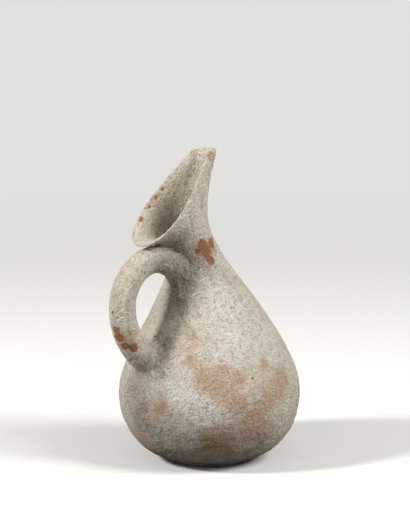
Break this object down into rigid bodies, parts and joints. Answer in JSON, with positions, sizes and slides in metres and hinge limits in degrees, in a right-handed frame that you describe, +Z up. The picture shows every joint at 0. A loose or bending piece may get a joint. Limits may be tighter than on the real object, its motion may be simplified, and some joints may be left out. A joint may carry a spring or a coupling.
{
  "type": "spouted jug",
  "caption": "Hand-built fired-clay jug with a squat round body, a narrow leaning neck, a tall cut-away beak spout and a thick looped rod handle, in a pale lime crust.",
  "frame": {"origin": "the middle of the underside of the base pad", "axes": "+X towards the beak and away from the handle, +Y to the left of someone looking along +X, +Z up; the jug is symmetric about the XZ plane"},
  "size_m": [0.171, 0.1458, 0.2507],
  "materials": {
    "lime_coated_clay": "fired clay under an off-white lime crust, dry and matt, with grey-brown specks and pits",
    "cream_clay": "fired clay with a thin cream crust, dry and matt, with bare reddish clay at chips",
    "greyed_clay": "fired clay with a thick grey crust, dry and matt"
  },
  "bodies": {
    "root": {"base_pad": "greyed_clay", "lower_wall": "cream_clay", "shoulder_wall": "lime_coated_clay", "neck": "lime_coated_clay", "beak": "cream_clay", "handle": "cream_clay", "upper_handle_luting": "greyed_clay", "lower_handle_luting": "lime_coated_clay", "peg_pad": "greyed_clay"}
  },
  "joints": []
}
